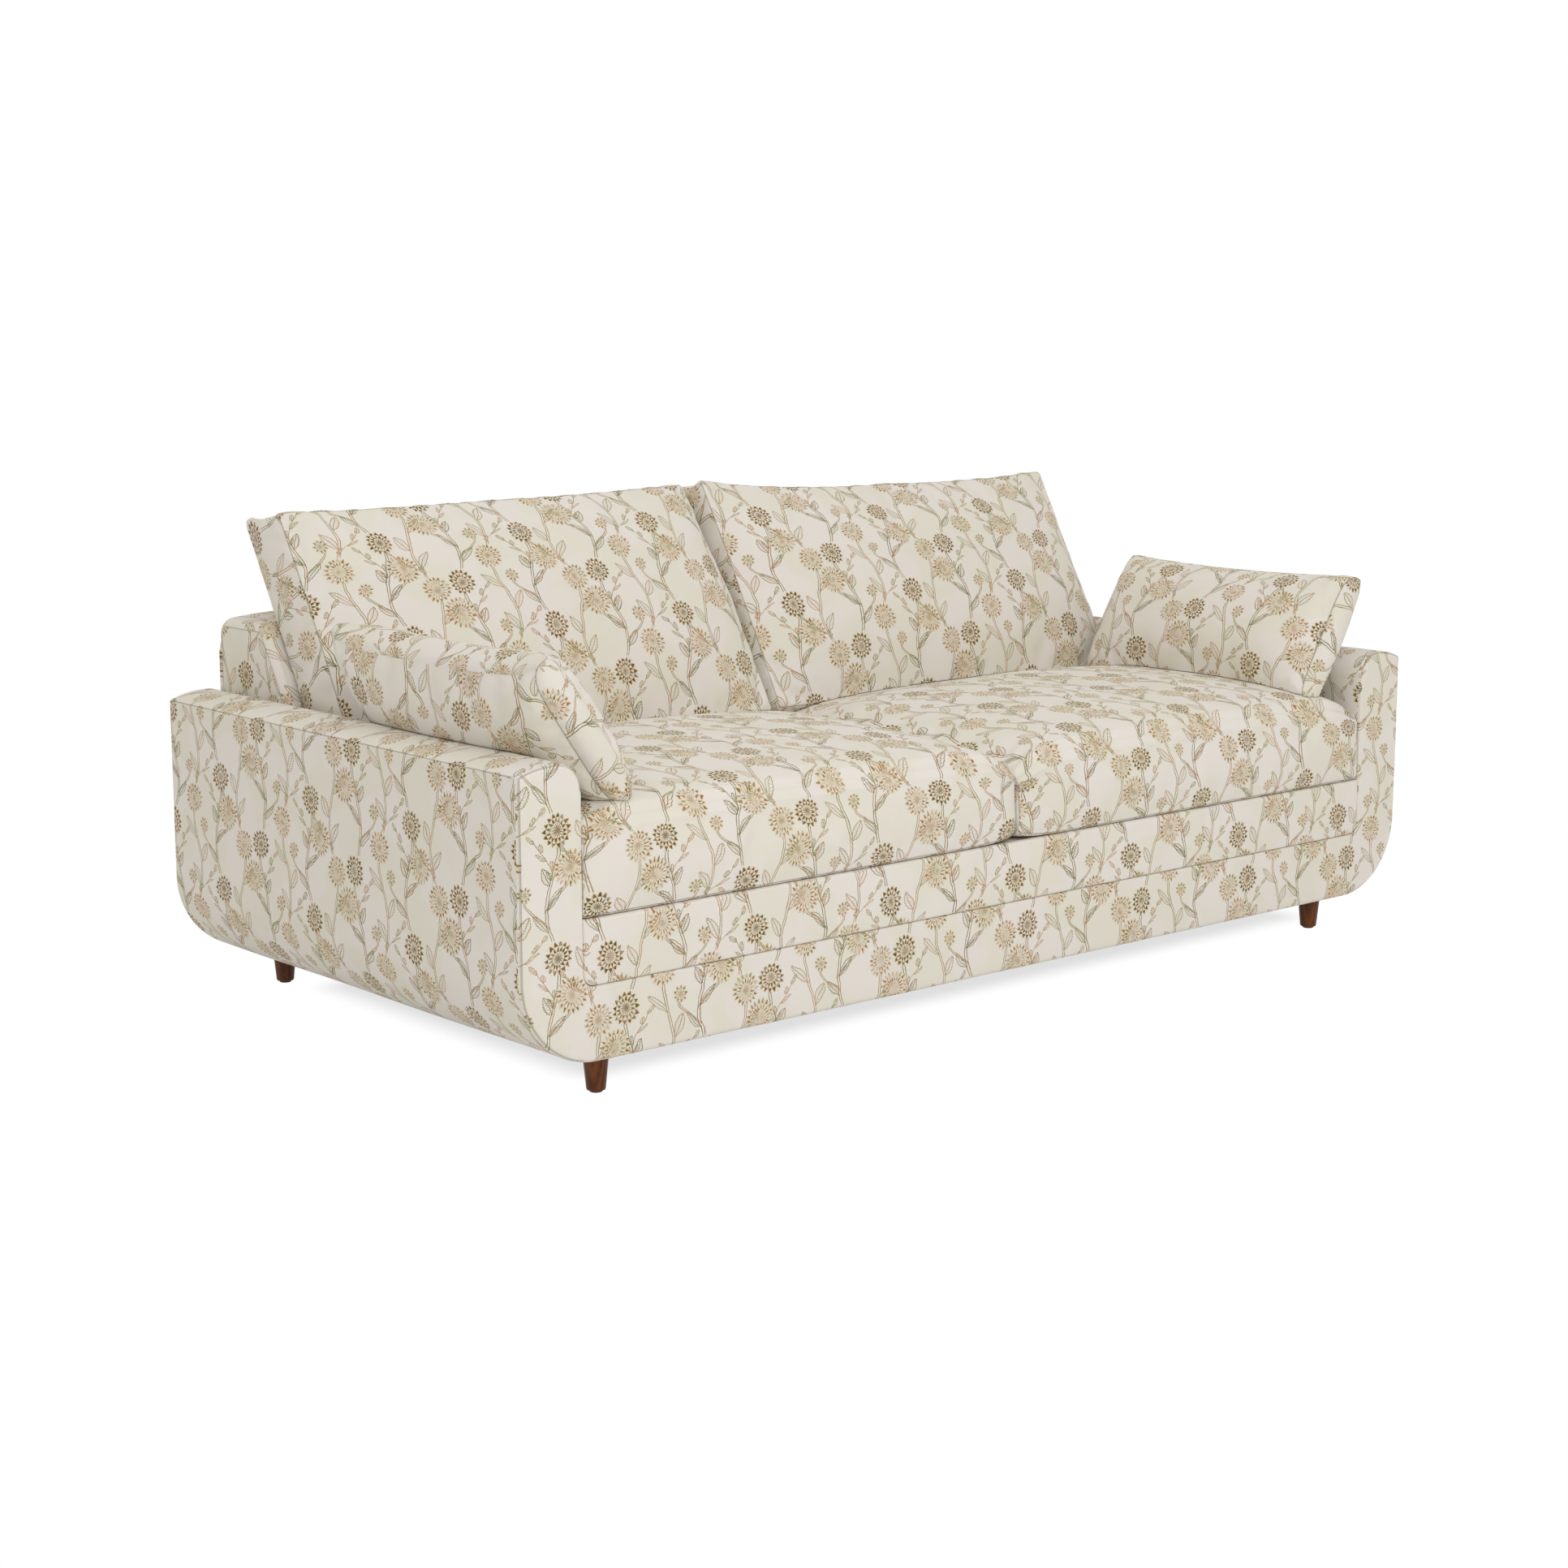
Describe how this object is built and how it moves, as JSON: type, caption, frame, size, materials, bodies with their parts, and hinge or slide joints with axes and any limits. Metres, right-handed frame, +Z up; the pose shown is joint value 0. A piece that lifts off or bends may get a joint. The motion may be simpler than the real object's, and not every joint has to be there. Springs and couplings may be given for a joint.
{
  "type": "upholstered sofa",
  "caption": "Slab-arm sofa with round lower corners, loose seat and back cushions, arm pillows and short tapered feet.",
  "frame": {"origin": "on the floor under the middle of the sofa", "axes": "+X to the right as the sofa is faced, +Y to its back, +Z up"},
  "size_m": [2.18, 1.085, 0.8908],
  "materials": {
    "upholstery": "matte",
    "black_cloth": "matte",
    "walnut": "satin",
    "plywood": "matte",
    "spring_steel": "satin",
    "zinc_steel": "satin",
    "nylon": "matte"
  },
  "bodies": {
    "sofa_body": {"arm_cover_left": "upholstery", "arm_front_post_left": "plywood", "arm_rear_post_left": "plywood", "arm_top_board_left": "plywood", "side_rail_left": "plywood", "stretcher_left": "plywood", "back_post_left": "plywood", "arm_cover_right": "upholstery", "arm_front_post_right": "plywood", "arm_rear_post_right": "plywood", "arm_top_board_right": "plywood", "side_rail_right": "plywood", "stretcher_right": "plywood", "back_post_right": "plywood", "foot_front_left": "walnut", "foot_glide_front_left": "nylon", "foot_bolt_front_left": "zinc_steel", "foot_plate_front_left": "zinc_steel", "corner_block_front_left": "plywood", "foot_front_right": "walnut", "foot_glide_front_right": "nylon", "foot_bolt_front_right": "zinc_steel", "foot_plate_front_right": "zinc_steel", "corner_block_front_right": "plywood", "foot_rear_left": "walnut", "foot_glide_rear_left": "nylon", "foot_bolt_rear_left": "zinc_steel", "foot_plate_rear_left": "zinc_steel", "corner_block_rear_left": "plywood", "foot_rear_right": "walnut", "foot_glide_rear_right": "nylon", "foot_bolt_rear_right": "zinc_steel", "foot_plate_rear_right": "zinc_steel", "corner_block_rear_right": "plywood", "seat_spring_1_left": "spring_steel", "seat_spring_2_left": "spring_steel", "seat_spring_3_left": "spring_steel", "seat_spring_4_left": "spring_steel", "seat_spring_1_right": "spring_steel", "seat_spring_2_right": "spring_steel", "seat_spring_3_right": "spring_steel", "seat_spring_4_right": "spring_steel", "front_rail": "plywood", "rear_rail": "plywood", "spring_rail": "plywood", "centre_stretcher": "plywood", "centre_back_post": "plywood", "back_top_rail": "plywood", "front_band_cover": "upholstery", "front_lower_cover": "upholstery", "seat_deck_cover": "upholstery", "inside_back_cover": "upholstery", "rear_cover": "upholstery", "dust_cover": "black_cloth"},
    "seat_cushion_left": {"seat_cushion_left": "upholstery"},
    "back_cushion_left": {"back_cushion_left": "upholstery"},
    "arm_pillow_left": {"arm_pillow_left": "upholstery"},
    "seat_cushion_right": {"seat_cushion_right": "upholstery"},
    "back_cushion_right": {"back_cushion_right": "upholstery"},
    "arm_pillow_right": {"arm_pillow_right": "upholstery"}
  },
  "joints": [
    {"name": "seat_cushion_left_lift", "type": "slide", "parent": "sofa_body", "child": "seat_cushion_left", "axis": [0, 0, 1], "range_m": [0, 0.3]},
    {"name": "back_cushion_left_lift", "type": "slide", "parent": "seat_cushion_left", "child": "back_cushion_left", "axis": [0, 0, 1], "range_m": [0, 0.3]},
    {"name": "arm_pillow_left_lift", "type": "slide", "parent": "seat_cushion_left", "child": "arm_pillow_left", "axis": [0, 0, 1], "range_m": [0, 0.16]},
    {"name": "seat_cushion_right_lift", "type": "slide", "parent": "sofa_body", "child": "seat_cushion_right", "axis": [0, 0, 1], "range_m": [0, 0.3]},
    {"name": "back_cushion_right_lift", "type": "slide", "parent": "seat_cushion_right", "child": "back_cushion_right", "axis": [0, 0, 1], "range_m": [0, 0.3]},
    {"name": "arm_pillow_right_lift", "type": "slide", "parent": "seat_cushion_right", "child": "arm_pillow_right", "axis": [0, 0, 1], "range_m": [0, 0.16]}
  ]
}
